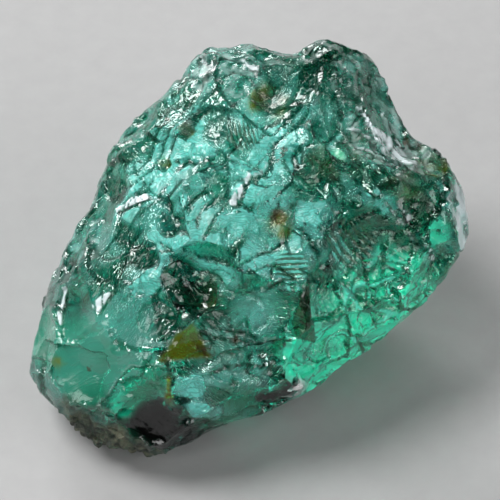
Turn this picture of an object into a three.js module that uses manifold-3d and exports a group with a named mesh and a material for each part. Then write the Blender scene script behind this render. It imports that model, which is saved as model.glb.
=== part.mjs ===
// A rough emerald crystal, about 22 mm across: a broken, unpolished piece with conchoidal fractures all over,
// lying on a flat cleavage face, with two lumps of dark mica schist grown into its lower edge.
// Millimetres, +Z up. The origin is at the middle of the foot of the bounding box.
//
// The stone is laid out in the frame of its broad face: u runs to the right along the face, v up the face
// and w out of it, towards the viewer. The last group leans that frame back onto the resting face.
import * as THREE from "three";
import { mergeVertices } from "three/addons/utils/BufferGeometryUtils.js";
import Module from "manifold-3d";

// Driving dimensions
const FACE_ELEVATION = 50; // degrees that the broad face's normal stands above the horizon
const FRONT_DEPTH = 6.8; // from the widest section to the front of the blank
const BACK_DEPTH = 7.4; // from the widest section to its back
const FULLNESS = 2.3; // 2 is an ellipsoid's section, more is squarer
const REST_DEPTH = 7.0; // the resting face lies this far under the middle of the broad face
const BLANK_SIZE = 11; // from the middle of the stone to its far ends
const FACET = 0.95; // edge length of the small triangles that a curved surface is made of
const LUMP_HEIGHT = 0.3; // swell of the unbroken surface between the fractures
const LUMP_LENGTH = 5.5; // how far apart the lumps are
const WAVE_HEIGHT = 0.14; // swell of a fracture's surface
const WAVE_LENGTH = 3.4; // how far apart its waves are
const LEDGE_HEIGHT = 0.26; // drop of the small steps that run across the fractures
const LEDGE_SPACING = 3.3; // how far apart the steps are
const LEDGE_BEND = 0.35; // how far they wander, as a share of their spacing
const LEDGE_AXIS = new THREE.Vector3(0.62, -0.55, 0.56).normalize(); // the steps climb along it
const BLOW = new THREE.Vector3(0.8, 0.35, -0.45); // from a fracture's middle to its blow, its normal being +Z
const RIM_CHIPS = 30; // chips broken off round the rim
const RIM_CHIP_REACH = 0.95; // how far out they are, as a share of the outline's distance
const RIM_CHIP_DEPTH = 0.45;
const RIM_CHIP_RADIUS = 5; // their mean curvature
const RIM_CHIP_SPREAD = 2; // how far from the mean it goes
const PLATE = { point: [10.85, 1.6, 0], outward: [0.97, 0.05, 0.24] }; // the flat break at the right-hand tip
const SCHIST_DETAIL = 3; // a lump of schist is as finely cut as a ball of this radius
const SCHIST_SWELL = 0.2; // height of its lumps, as a share of its size
const SCHIST_SWELL_LENGTH = 1.6; // how far apart they are, its size being 1
const SCHIST_GAP = 0.3; // clearance between a lump of schist and its pocket
const CUT_SIZE = 60; // more than the whole stone
const GOLDEN_ANGLE = 2.4; // steps of it never repeat

// The outline of the broad face, anticlockwise from the right-hand tip
const OUTLINE = [
  [10.95, 1.3], [10.8, 2.3], [10.35, 3.75], [10.0, 4.4], [9.3, 5.15], [8.35, 5.45], [7.7, 6.2], [7.05, 7.35],
  [7.0, 8.3], [6.1, 9.65], [5.0, 10.25], [3.85, 10.65], [3.1, 10.45], [2.5, 10.0], [1.75, 9.8], [1.1, 10.2],
  [0.4, 10.35], [-0.5, 10.3], [-1.05, 10.05], [-1.8, 10.3], [-2.25, 10.1], [-2.6, 9.65], [-3.3, 9.0],
  [-4.1, 8.0], [-5.05, 7.2], [-6.2, 6.2], [-6.85, 5.25], [-7.4, 3.9], [-7.7, 2.8], [-8.05, 1.9], [-8.55, 1.55],
  [-8.9, 0.6], [-9.4, -0.4], [-10.15, -1.65], [-10.6, -3.1], [-10.85, -4.75], [-11.0, -6.0], [-10.75, -6.9],
  [-10.05, -7.75], [-9.5, -8.2], [-9.2, -8.75], [-8.65, -9.0], [-8.3, -9.55], [-7.6, -9.9], [-6.85, -9.85],
  [-6.1, -9.85], [-5.5, -10.1], [-4.85, -10.3], [-4.2, -10.1], [-3.0, -9.75], [-1.85, -9.05], [-1.0, -8.8],
  [0, -8.5], [1.0, -8.05], [2.5, -7.5], [3.3, -7.0], [4.25, -6.1], [5.3, -5.3], [6.75, -4.4], [8.3, -3.05],
  [9.5, -1.85], [10.1, -0.75], [10.75, 0.0],
];

const wasm = await Module();
wasm.setup();

// A closed geometry as a solid that can be joined and cut.
function solidOf(geometry) {
  const bare = geometry.clone();
  bare.deleteAttribute("normal");
  bare.deleteAttribute("uv");
  const merged = mergeVertices(bare, 1e-4);
  return new wasm.Manifold(
    new wasm.Mesh({
      numProp: 3,
      vertProperties: merged.attributes.position.array,
      triVerts: new Uint32Array(merged.index.array),
    }),
  );
}

// A solid as a geometry with one flat normal for each triangle.
function geometryOf(solid) {
  const mesh = solid.getMesh();
  const geometry = new THREE.BufferGeometry();
  geometry.setAttribute("position", new THREE.BufferAttribute(new Float32Array(mesh.vertProperties), 3));
  geometry.setIndex(new THREE.BufferAttribute(new Uint32Array(mesh.triVerts), 1));
  const flat = geometry.toNonIndexed();
  flat.computeVertexNormals();
  return flat;
}

// A ball of even triangles, about as large as FACET when the ball has the given radius.
function evenBall(radius) {
  return new THREE.IcosahedronGeometry(1, Math.max(3, Math.round(radius / FACET)));
}

// A ball whose rings lie round a pole, two of them to each rib.
function ringedBall(radius, pole, ribSpacing) {
  const around = Math.round((2 * Math.PI * radius) / FACET);
  const rings = Math.round((2 * Math.PI * radius) / ribSpacing);
  const geometry = new THREE.SphereGeometry(1, around, rings);
  return geometry.applyQuaternion(new THREE.Quaternion().setFromUnitVectors(new THREE.Vector3(0, 1, 0), pole));
}

// The turn that takes +Z onto a direction.
function turnOnto(direction) {
  return new THREE.Quaternion().setFromUnitVectors(new THREE.Vector3(0, 0, 1), direction);
}

// Moves each point of a ball to the distance from its middle that its direction calls for.
function reshape(ball, distance) {
  const position = ball.attributes.position;
  const direction = new THREE.Vector3();
  for (let i = 0; i < position.count; i++) {
    direction.fromBufferAttribute(position, i).normalize();
    direction.multiplyScalar(distance(direction));
    position.setXYZ(i, direction.x, direction.y, direction.z);
  }
  return ball;
}

// A slow swell in space, between -1 and 1 and the same on every run, with waves of about a given length.
function swell(place, length) {
  const [x, y, z] = place.toArray().map((value) => (value * 2 * Math.PI) / length);
  const bend = Math.sin(0.31 * x - 0.47 * y + 0.38 * z);
  return (
    Math.sin(0.71 * x + 0.39 * y - 0.55 * z + 0.4 + bend) +
    Math.sin(-0.48 * x + 0.83 * y + 0.37 * z + 2.1 + bend) +
    Math.sin(0.33 * x - 0.61 * y + 0.89 * z + 4.4 - bend)
  ) / 3;
}

// The small steps that cross every fracture along wavy lines, a slow rise and a sharp drop each, from -0.5 to 0.5.
function ledge(place) {
  const climb = place.dot(LEDGE_AXIS) / LEDGE_SPACING + LEDGE_BEND * swell(place, 2 * LEDGE_SPACING);
  return climb - Math.floor(climb) - 0.5;
}

// How far the outline is from the middle of the face, in the direction of an angle.
function outlineRadius(angle) {
  const [dx, dy] = [Math.cos(angle), Math.sin(angle)];
  for (let i = 0; i < OUTLINE.length; i++) {
    const [ax, ay] = OUTLINE[i];
    const [bx, by] = OUTLINE[(i + 1) % OUTLINE.length];
    const along = (ax * (by - ay) - ay * (bx - ax)) / (dx * (by - ay) - dy * (bx - ax));
    const share = Math.abs(bx - ax) > Math.abs(by - ay)
      ? (along * dx - ax) / (bx - ax)
      : (along * dy - ay) / (by - ay);
    if (along > 0 && share >= 0 && share <= 1) return along;
  }
  throw new Error("the outline leaves a gap at angle " + angle);
}

// How far the blank's surface is from the middle of the stone in a direction of the face frame.
function blankRadius(direction) {
  const inFace = Math.hypot(direction.x, direction.y);
  const depth = direction.z > 0 ? FRONT_DEPTH : BACK_DEPTH;
  const rim = outlineRadius(Math.atan2(direction.y, direction.x));
  const sum = Math.pow(inFace / rim, FULLNESS) + Math.pow(Math.abs(direction.z) / depth, FULLNESS);
  const radius = Math.pow(sum, -1 / FULLNESS);
  const lump = swell(direction.clone().multiplyScalar(radius), LUMP_LENGTH);
  return radius + LUMP_HEIGHT * Math.abs(direction.z) * lump;
}

// The blank's surface point over a place on the broad face, at its front (side 1) or its back (side -1).
function surfacePoint(u, v, side) {
  const rim = outlineRadius(Math.atan2(v, u));
  const depth = side > 0 ? FRONT_DEPTH : BACK_DEPTH;
  const share = Math.min(1, Math.hypot(u, v) / rim);
  const w = side * depth * Math.pow(1 - Math.pow(share, FULLNESS), 1 / FULLNESS);
  const direction = new THREE.Vector3(u, v, w).normalize();
  return direction.clone().multiplyScalar(blankRadius(direction));
}

// The blank's outward normal there, from small steps along the surface.
function surfaceNormal(point) {
  const step = 0.1;
  const direction = point.clone().normalize();
  const sideways = new THREE.Vector3(0, 0, 1).cross(direction).normalize();
  const upward = direction.clone().cross(sideways);
  const [east, west, north, south] = [
    [sideways, step], [sideways, -step], [upward, step], [upward, -step],
  ].map(([way, by]) => {
    const turned = direction.clone().addScaledVector(way, by).normalize();
    return turned.clone().multiplyScalar(blankRadius(turned));
  });
  return east.sub(west).cross(north.sub(south)).normalize();
}

// The curved tool that leaves one conchoidal fracture: a wavy ball, with ribs that run round the point of the
// blow. at is the place on the face, side its front or back, radius the fracture's curvature, depth how deep
// it bites, lean tips the surface that it leaves towards u and v, and ribs is [height, spacing] of the ribs.
function bite({ at, side = 1, radius, depth, lean = [0, 0], ribs = [0, 1] }) {
  const point = surfacePoint(at[0], at[1], side);
  const normal = surfaceNormal(point).add(new THREE.Vector3(lean[0], lean[1], 0)).normalize();
  const middle = point.addScaledVector(normal, radius - depth);
  const blow = BLOW.clone().normalize().applyQuaternion(turnOnto(normal));
  const [ribHeight, ribSpacing] = ribs;
  const ball = ribHeight > 0 ? ringedBall(radius, blow, ribSpacing) : evenBall(radius);
  const geometry = reshape(ball, (direction) => {
    const ringsFromBlow = Math.round((2 * direction.angleTo(blow) * radius) / ribSpacing);
    const rib = ribHeight * Math.cos(Math.PI * ringsFromBlow);
    const place = direction.clone().multiplyScalar(radius).add(middle);
    return radius + rib + WAVE_HEIGHT * swell(place, WAVE_LENGTH) + LEDGE_HEIGHT * ledge(place);
  });
  geometry.translate(...middle.toArray());
  return solidOf(geometry);
}

// A flat cut: everything past a plane, given by a point on it and its outward direction.
function flatCut({ point, outward }) {
  const geometry = new THREE.BoxGeometry(CUT_SIZE, CUT_SIZE, CUT_SIZE);
  geometry.translate(0, 0, CUT_SIZE / 2);
  geometry.applyQuaternion(turnOnto(new THREE.Vector3(...outward).normalize()));
  geometry.translate(...point);
  return solidOf(geometry);
}

// Fractures on the broad face, from its top to its foot
const FRONT_BITES = [
  { at: [4.3, 8.9], radius: 5, depth: 0.5 },
  { at: [6.0, 8.0], radius: 6, depth: 0.5, lean: [0.1, 0] },
  { at: [-0.4, 8.6], radius: 4.5, depth: 0.8, lean: [0, 0.2] },
  { at: [-2.8, 7.8], radius: 7, depth: 0.6, lean: [-0.2, 0.1] },
  { at: [2.0, 8.2], radius: 5, depth: 0.7 },
  { at: [4.7, 6.7], radius: 8, depth: 1.1, lean: [0.15, 0.1], ribs: [0.07, 0.9] },
  { at: [0.9, 6.6], radius: 6, depth: 0.9, lean: [0, -0.1] },
  { at: [-2.4, 5.8], radius: 6, depth: 0.8, lean: [-0.1, 0.1] },
  { at: [7.6, 5.4], radius: 5, depth: 0.6, lean: [0.1, 0.1] },
  { at: [0.3, 4.8], radius: 7, depth: 0.9, ribs: [0.05, 1.2] },
  { at: [-4.4, 4.2], radius: 9, depth: 0.9, lean: [-0.1, 0.1] },
  { at: [3.4, 3.4], radius: 6, depth: 0.8 },
  { at: [9.0, 2.2], radius: 8, depth: 0.7, lean: [0.1, 0] },
  { at: [-7.2, 1.4], radius: 9, depth: 0.5 },
  { at: [-1.2, 2.1], radius: 8, depth: 0.9 },
  { at: [1.6, 1.6], radius: 6, depth: 0.9, lean: [0.1, 0] },
  { at: [-4.6, 0.6], radius: 8, depth: 0.9, lean: [-0.1, 0] },
  { at: [5.7, -0.4], radius: 8, depth: 1.7, lean: [0.1, -0.1] },
  { at: [2.3, -0.7], radius: 7, depth: 0.9 },
  { at: [-2.6, -1.3], radius: 2.1, depth: 1.3 },
  { at: [-1.4, -2.1], radius: 1.7, depth: 1.1 },
  { at: [-6.6, -2.0], radius: 7, depth: 0.7 },
  { at: [9.0, -1.0], radius: 6, depth: 0.5, lean: [0.1, -0.1] },
  { at: [-8.6, -3.2], radius: 5, depth: 0.6 },
  { at: [0.7, -3.1], radius: 5, depth: 1.3, lean: [-0.2, 0] },
  { at: [6.0, -3.6], radius: 9, depth: 0.8, ribs: [0.05, 1.1] },
  { at: [8.4, -2.3], radius: 5, depth: 0.4 },
  { at: [-5.3, -3.6], radius: 7, depth: 0.8 },
  { at: [-2.7, -4.6], radius: 4, depth: 0.9, lean: [0.1, -0.2] },
  { at: [3.4, -5.2], radius: 6, depth: 0.7 },
  { at: [0.2, -5.4], radius: 7, depth: 0.8, lean: [0, -0.1] },
  { at: [-7.6, -5.8], radius: 12, depth: 0.9 },
  { at: [-2.9, -6.9], radius: 3.6, depth: 0.7 },
  { at: [0.6, -7.1], radius: 6, depth: 0.5, lean: [0, -0.1] },
  { at: [-4.9, -8.0], radius: 5, depth: 0.8 },
  { at: [-7.4, -8.4], radius: 4, depth: 0.6 },
];

// Fractures on the hidden side, which have the same character
const BACK_BITES = [
  { at: [0.6, 9.3], side: -1, radius: 6, depth: 0.8 },
  { at: [5.8, 8.4], side: -1, radius: 5, depth: 0.8 },
  { at: [-5.0, 6.4], side: -1, radius: 8, depth: 0.8 },
  { at: [3.4, 8.8], side: -1, radius: 8, depth: 0.9 },
  { at: [-2.6, 7.6], side: -1, radius: 10, depth: 1.0, ribs: [0.06, 1.3] },
  { at: [6.2, 6.0], side: -1, radius: 12, depth: 1.2 },
  { at: [1.4, 6.0], side: -1, radius: 9, depth: 1.1 },
  { at: [-6.0, 3.6], side: -1, radius: 14, depth: 1.1, lean: [-0.1, 0] },
  { at: [8.8, 2.0], side: -1, radius: 7, depth: 0.9 },
  { at: [4.6, 2.4], side: -1, radius: 12, depth: 1.3, ribs: [0.06, 1.4] },
  { at: [-1.6, 2.8], side: -1, radius: 9, depth: 1.2 },
  { at: [-8.2, -1.2], side: -1, radius: 9, depth: 0.9 },
  { at: [-4.4, -0.6], side: -1, radius: 11, depth: 1.1 },
  { at: [7.8, -1.8], side: -1, radius: 6, depth: 0.8 },
  { at: [-9.2, -4.6], side: -1, radius: 8, depth: 0.7 },
  { at: [5.0, -4.2], side: -1, radius: 8, depth: 0.8 },
];

// Chips all round the rim, on its front and its back by turns. Their depth leaves the outline whole.
function rimChips() {
  return Array.from({ length: RIM_CHIPS }, (_, i) => {
    const angle = (i / RIM_CHIPS) * 2 * Math.PI;
    const reach = RIM_CHIP_REACH * outlineRadius(angle);
    return {
      at: [reach * Math.cos(angle), reach * Math.sin(angle)],
      side: i % 2 ? 1 : -1,
      radius: RIM_CHIP_RADIUS + RIM_CHIP_SPREAD * Math.sin(i * GOLDEN_ANGLE),
      depth: RIM_CHIP_DEPTH,
    };
  });
}

// A lump of schist, as the place of its middle and half its size along u, v and w
const SCHIST_LUMPS = {
  schist: { middle: [-4.25, -7.3, -0.4], half: [1.6, 1.6, 2.7] },
  schist_grain: { middle: [1.45, -6.3, -0.6], half: [1.1, 0.75, 3.4] },
};

// The lump's shape, or with a clearance added the shape of its pocket.
function lumpShape({ middle, half }, clearance) {
  const ball = reshape(evenBall(SCHIST_DETAIL), (direction) => {
    return 1 + SCHIST_SWELL * swell(direction, SCHIST_SWELL_LENGTH);
  });
  ball.scale(half[0] + clearance, half[1] + clearance, half[2] + clearance);
  ball.translate(...middle);
  return solidOf(ball);
}

let crystal = solidOf(reshape(evenBall(BLANK_SIZE), blankRadius));
for (const one of [...FRONT_BITES, ...BACK_BITES, ...rimChips()]) {
  crystal = crystal.subtract(bite(one));
}

// The resting face: the face frame's own direction for straight down.
const lean = THREE.MathUtils.degToRad(FACE_ELEVATION);
const down = [0, -Math.cos(lean), -Math.sin(lean)];
crystal = crystal.subtract(flatCut({ point: down.map((value) => value * REST_DEPTH), outward: down }));
crystal = crystal.subtract(flatCut(PLATE));

// Each lump is broken off flush with the stone, and lies in a pocket that is open below.
const lumps = Object.entries(SCHIST_LUMPS).map(([name, lump]) => [name, lumpShape(lump, 0).intersect(crystal)]);
for (const lump of Object.values(SCHIST_LUMPS)) {
  crystal = crystal.subtract(lumpShape(lump, SCHIST_GAP));
}

const emerald = new THREE.MeshStandardMaterial({ color: 0x2f9a78, roughness: 0.12, metalness: 0 });
const mica = new THREE.MeshStandardMaterial({ color: 0x2b2620, roughness: 0.7, metalness: 0 });

// A named mesh of a solid.
function meshOf(name, solid, material) {
  const mesh = new THREE.Mesh(geometryOf(solid), material);
  mesh.name = name;
  return mesh;
}

const stone = new THREE.Group();
stone.add(meshOf("crystal", crystal, emerald));
for (const [name, solid] of lumps) stone.add(meshOf(name, solid, mica));
stone.rotation.x = Math.PI / 2 - lean;
stone.updateMatrixWorld(true);

const part = new THREE.Group();
part.add(stone);
const box = new THREE.Box3().setFromObject(stone, true);
stone.position.set(-(box.min.x + box.max.x) / 2, -(box.min.y + box.max.y) / 2, -box.min.z);

export default part;
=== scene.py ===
"""A rough emerald on a pale floor, with its fine chips, ribs and wrinkles and its dark schist."""

import math
from types import SimpleNamespace

import bpy
import numpy as np
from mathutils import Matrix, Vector
from mathutils.bvhtree import BVHTree


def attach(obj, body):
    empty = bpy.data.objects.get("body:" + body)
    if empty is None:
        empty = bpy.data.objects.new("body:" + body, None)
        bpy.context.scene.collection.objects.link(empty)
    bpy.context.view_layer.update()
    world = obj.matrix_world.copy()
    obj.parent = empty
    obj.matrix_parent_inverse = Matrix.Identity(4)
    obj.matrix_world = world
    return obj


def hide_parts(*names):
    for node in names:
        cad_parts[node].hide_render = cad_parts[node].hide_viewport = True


MM = 0.001
FACE_ELEVATION = math.radians(50)  # the broad face's normal stands this far above the horizon
FACE_MIDDLE = (0.03 * MM, -0.15 * MM, 7.0 * MM)  # middle of the broad face's outline
PICTURE_WIDTH = 25 * MM  # what the picture's width spans at the stone
CAMERA_DISTANCE = 150 * MM
SENSOR = 36  # in millimetres, as cameras have it

# The stone's mesh, and the thin cracks in it
STONE_MESH = 0.105 * MM  # the size of its quads at first
STONE_SHARE = 0.52  # the share of its faces that is kept
SHARP_ANGLE = math.radians(24)  # a sharper edge isn't shaded smooth
CRACKS = 60
CRACK_SEEDS = range(101, 1201)  # each draws one crack, which is left out if it doesn't lie in the stone
CRACK_SPREAD = (9.5, 8.5, 5.0)  # how far from the middle cracks are drawn, in millimetres
CRACK_RINGS = 5  # rings of points on each side of a crack
CRACK_SIDES = 22  # points of a ring
CRACK_THICKNESS = 0.02  # half of it, in millimetres
CRACK_CLEARANCE = 0.12 * MM

# The schist, which grows till it fills its pockets
SCHIST_MESH = 0.09 * MM
POCKET_REACH = 0.45  # a wall farther off than this many millimetres isn't the pocket's
MOST_GROWTH = 0.35  # in millimetres
WALL_BITE = 0.04  # how far it goes into the wall, in millimetres

# Heights and depths of the stone's relief, in millimetres
MEAN_BITE = 0.14  # chips and scars bite this deep on average, which is given back all over
FOLD_HEIGHT = 0.24
HOLLOW_DEPTH = 0.25
CREST_HEIGHT = 0.17
FINE_CREST_HEIGHT = 0.09
WEDGE_DEPTH = 0.05
CRUST_HEIGHT = 0.18
HIGHLIGHT_HEIGHT = 0.06

EMERALD_IOR = 1.58
EMERALD_ABSORPTION = 240  # for each metre
BOUNCES = 14  # how often light is followed through the stone

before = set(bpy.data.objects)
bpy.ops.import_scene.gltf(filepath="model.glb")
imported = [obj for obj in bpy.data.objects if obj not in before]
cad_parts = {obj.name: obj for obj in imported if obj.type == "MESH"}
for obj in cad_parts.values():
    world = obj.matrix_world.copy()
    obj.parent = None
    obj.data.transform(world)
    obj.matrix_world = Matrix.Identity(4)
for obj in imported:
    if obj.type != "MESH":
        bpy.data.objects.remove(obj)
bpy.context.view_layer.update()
random = np.random.default_rng(7)

FACE_U = np.array([1.0, 0.0, 0.0])
FACE_V = np.array([0.0, math.sin(FACE_ELEVATION), math.cos(FACE_ELEVATION)])
FACE_W = np.array([0.0, -math.cos(FACE_ELEVATION), math.sin(FACE_ELEVATION)])


def face_frame(points):
    """Points in millimetres along the broad face, up it and out of it."""
    apart = (points - np.array(FACE_MIDDLE)) / MM
    return np.stack([apart @ FACE_U, apart @ FACE_V, apart @ FACE_W], axis=1)


def copy_of(node, name):
    """A new object with a CAD node's mesh."""
    piece = bpy.data.objects.new(name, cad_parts[node].data.copy())
    bpy.context.scene.collection.objects.link(piece)
    piece.data.materials.clear()
    return piece


def apply_modifiers(piece):
    """Bakes an object's modifiers into its mesh."""
    graph = bpy.context.evaluated_depsgraph_get()
    made = bpy.data.meshes.new_from_object(piece.evaluated_get(graph))
    piece.modifiers.clear()
    piece.data = made


def remesh(piece, size):
    """Even quads of about a given size over the whole surface."""
    modifier = piece.modifiers.new("even", "REMESH")
    modifier.mode = "VOXEL"
    modifier.voxel_size = size
    modifier.use_smooth_shade = True
    apply_modifiers(piece)


def rows_of(mesh, name):
    """One of the vectors that a mesh holds for each of its points, a row each."""
    flat = np.empty(len(mesh.vertices) * 3, np.float32)
    mesh.vertices.foreach_get(name, flat)
    return flat.reshape(-1, 3).astype(float)


def points_of(mesh):
    """Where a mesh's points are, in metres."""
    return rows_of(mesh, "co")


def normals_of(mesh):
    """Which way is out of the surface at each of a mesh's points."""
    return rows_of(mesh, "normal")


def set_points(mesh, points):
    """Moves each of a mesh's points to its new place."""
    mesh.vertices.foreach_set("co", points.astype(np.float32).ravel())
    mesh.update()


def smooth_step(low, high, value):
    """0 below low, 1 above high, and a smooth rise between them."""
    t = np.clip((value - low) / (high - low), 0, 1)
    return t * t * (3 - 2 * t)


def waves(places, length, seed):
    """A slow swell in space, mostly between -1 and 1, with waves of about a given length six ways.

    Each seed gives a swell of its own.
    """
    made = np.zeros(len(places))
    source = np.random.default_rng(seed)
    for _ in range(6):
        way = source.normal(size=3)
        way *= 2 * math.pi / (length * np.linalg.norm(way))
        made += np.sin(places @ way + source.uniform(0, 2 * math.pi))
    return made / 3


def near(places, middle, reach):
    """1 at a place on the broad face and 0 past a reach from it, measured along the face."""
    apart = np.hypot(places[:, 0] - middle[0], places[:, 1] - middle[1])
    return 1 - smooth_step(0.5 * reach, reach, apart)


def streak(places, start, end, widths):
    """1 on a line over the broad face and 0 off it. Its half width goes from one value to another."""
    start = np.array(start)
    way = np.array(end) - start
    share = np.clip((places[:, :2] - start) @ way / (way @ way), 0, 1)
    apart = np.linalg.norm(places[:, :2] - start - share[:, None] * way, axis=1)
    width = widths[0] + (widths[1] - widths[0]) * share
    return 1 - smooth_step(0.7, 1.3, apart / width)


def patch(places, corners, blur):
    """1 inside a patch with straight sides on the broad face, and 0 outside, past a blurred border."""
    inside = np.full(len(places), np.inf)
    for start, end in zip(corners, corners[1:] + corners[:1]):
        way = np.array(end) - start
        way /= np.linalg.norm(way)
        left = way[0] * (places[:, 1] - start[1]) - way[1] * (places[:, 0] - start[0])
        inside = np.minimum(inside, left)
    return smooth_step(-blur, blur, inside)


def folds(places, turn, along, across, seed):
    """0 on sharp lines that run about one way over the broad face, and 1 on the swells between them."""
    way = places @ np.array([math.cos(turn), math.sin(turn), 0]) / along
    aside = places @ np.array([-math.sin(turn), math.cos(turn), 0]) / across
    stretched = np.stack([way, aside, places[:, 2] / across], axis=1)
    return np.minimum(1.5 * np.abs(waves(stretched, 1, seed)), 1)


def scars(places, normals, count, radius, depth, share, rib_height, rib_spacing):
    """How deep shell-shaped scars bite at each point, with ribs round each blow, and the scars' tones.

    share is how likely each point is to be struck. A tone is from -1 to 1 and the same all over a scar.
    """
    chosen = random.choice(len(places), size=count, p=share / share.sum())
    made = np.zeros(len(places))
    tone = np.zeros(len(places))
    for index in chosen:
        curve = random.uniform(*radius)
        bite = random.uniform(*depth)
        apart = places - places[index]
        far = np.einsum("ij,ij->i", apart, apart)
        reached = np.nonzero(far < 2 * curve * bite)[0]
        tilt = random.normal(size=3)
        tilt -= normals[index] * (tilt @ normals[index])
        tilt /= np.linalg.norm(tilt)
        lean = apart[reached] @ tilt
        reach = math.sqrt(2 * curve * bite)
        bowl = far[reached] / (2 * curve) - bite + 0.25 * bite * lean / reach
        from_blow = np.linalg.norm(apart[reached] - tilt * reach, axis=1)
        bowl += random.uniform(0, 1) * rib_height * np.sin(2 * math.pi * from_blow / rib_spacing)
        deeper = bowl < made[reached]
        made[reached[deeper]] = bowl[deeper]
        tone[reached[deeper]] = random.uniform(-1, 1)
    return made, tone


def flakes(places, normals, count, reach, slope, share):
    """How deep flat chips bite at each point, their tones, and 1 on the steep wall that ends each."""
    chosen = random.choice(len(places), size=count, p=share / share.sum())
    made = np.zeros(len(places))
    tone = np.zeros(len(places))
    edge = np.zeros(len(places))
    for index in chosen:
        size = random.uniform(*reach)
        fall = random.uniform(*slope)
        stretch = random.uniform(1, 2.2)
        apart = places - places[index]
        far = np.einsum("ij,ij->i", apart, apart)
        reached = np.nonzero(far < (stretch * size) ** 2)[0]
        tilt = random.normal(size=3)
        tilt -= normals[index] * (tilt @ normals[index])
        tilt /= np.linalg.norm(tilt)
        across = np.cross(normals[index], tilt)
        lean = apart[reached] @ tilt
        aside = apart[reached] @ across
        streaks = 0.06 * fall * size * np.sin(2 * math.pi * aside / random.uniform(0.25, 0.5))
        ramp = fall * (lean - size) + streaks
        wall = 1.6 * (np.hypot(lean, aside / stretch) - size)
        chip = np.maximum(ramp, wall)
        deeper = chip < made[reached]
        made[reached[deeper]] = chip[deeper]
        tone[reached[deeper]] = random.uniform(-1, 1)
        edge[reached[deeper]] = (wall > ramp)[deeper]
    return made, tone, edge


def painted(places, spots):
    """The strongest of several round spots on the broad face, each ((u, v), reach, strength)."""
    made = np.zeros(len(places))
    for middle, reach, strength in spots:
        made = np.maximum(made, strength * near(places, middle, reach))
    return made


# Soft zones of the broad face, each as its middle, its reach and its strength
# Milky zones, whose pale cyan also paints a sheen, as if facets mirrored the light
MILK_AND_SHEEN = [
    ((-3.0, 2.4), 5.6, 0.9),
    ((-0.8, 0.2), 3.2, 0.9),
    ((-8.8, -3.4), 4.0, 0.3),
    ((0.8, 5.4), 4.5, 0.7),
    ((2.2, 1.0), 3.6, 0.7),
    ((0.8, -2.8), 2.2, 0.6),
    ((-5.4, -1.6), 2.4, 0.7),
    ((-6.8, -0.4), 2.6, 0.8),
    ((0.6, 1.2), 3.4, 0.8),
    ((-2.4, -6.9), 1.6, 0.8),
]
DEEP = [
    ((6.4, 1.2), 5.6, 1),
    ((4.6, 8.0), 4.0, 0.8),
    ((2.2, 7.6), 2.4, 0.7),
    ((8.6, 2.6), 3.6, 0.8),
    ((1.8, -4.4), 1.6, 0.8),
    ((-2.3, -2.2), 2.2, 1),
    ((-9.0, -3.0), 1.3, 0.6),
    ((-7.4, -8.2), 2.2, 0.9),
    ((-5.2, -8.8), 2.4, 1),
    ((-2.4, -9.0), 1.6, 0.7),
]
HOLLOW = [
    ((-4.0, 1.3), 0.8, 0.9),
    ((-6.1, 0.8), 0.8, 0.8),
    ((-5.4, -0.2), 1.0, 0.9),
    ((-3.4, -1.2), 1.2, 1),
    ((-2.6, -2.1), 1.4, 1),
    ((-6.6, 3.0), 0.8, 0.8),
    ((-1.7, -3.0), 0.9, 0.9),
    ((3.2, 3.9), 1.3, 0.8),
    ((-1.5, 5.9), 1.2, 0.6),
    ((1.0, 7.4), 1.1, 0.7),
]
# Zones of painted glowing light: bright green that stands in for light passing through the stone
PAINTED_GLOW = [
    ((4.2, -5.2), 3.8, 1),
    ((6.8, -2.8), 3.6, 1),
    ((7.4, -0.6), 1.8, 0.9),
    ((9.2, 0.9), 1.0, 0.8),
    ((4.2, 4.6), 0.6, 0.8),
    ((-6.1, -7.6), 0.9, 0.8),
]
LEAFY = [
    ((-8.2, -5.4), 3.2, 1),
    ((-5.2, -6.4), 1.9, 1),
    ((-9.8, -4.4), 2.0, 1),
    ((-6.6, -4.2), 2.6, 0.8),
    ((-0.4, -4.6), 3.0, 0.6),
]
OLIVE = [
    ((-2.0, -1.9), 1.1, 0.35),
    ((0.9, 7.4), 1.3, 0.6),
    ((3.3, 4.0), 1.5, 0.4),
    ((5.2, 4.6), 1.6, 0.3),
    ((9.2, 4.6), 1.4, 0.6),
    ((1.5, 1.2), 0.9, 0.8),
    ((-9.5, -5.5), 0.4, 0.5),
    ((-4.3, 4.4), 0.4, 0.8),
    ((-3.2, 5.9), 0.4, 0.8),
    ((7.6, 3.2), 1.2, 0.5),
]
STAINED = [
    ((2.1, 2.35), 0.4, 1),
    ((1.4, 1.6), 0.5, 0.8),
    ((-2.1, -5.0), 0.5, 1),
    ((-2.6, -4.7), 0.3, 0.9),
    ((-0.7, -4.3), 0.35, 0.8),
    ((8.2, 5.6), 0.7, 0.8),
    ((-8.9, -7.6), 0.7, 0.4),
    ((0.9, 7.6), 0.7, 0.6),
]
FROSTED = [
    ((-1.2, 9.3), 2.7, 0.85),
    ((-8.3, -0.2), 1.9, 0.5),
    ((-9.0, -1.8), 1.5, 0.5),
    ((6.2, 6.0), 2.4, 0.95),
    ((8.0, 4.6), 1.6, 1),
    ((5.4, 8.4), 2.1, 0.75),
]
CLEAR = [((-4.5, -8.3), 2.0, 1), ((1.4, -7.0), 1.5, 1), ((2.5, -3.4), 1.0, 1)]
CRUSTED = [
    ((-9.2, -8.2), 1.0, 0.8),
    ((-8.4, -9.0), 1.5, 1),
    ((-6.9, -9.6), 1.5, 1),
    ((-5.6, -10.0), 1.0, 1),
    ((-4.6, -10.3), 0.8, 0.8),
]

# Wide zones with a blurred border on the broad face, each as its middle and its reach
SMOOTH_END = ((-8.0, -4.6), 4.4)
WRINKLED_SIDE = ((6.0, -3.8), 5.0)
PALE_PLATE = ((10.2, 1.6), 2.9)

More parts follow.
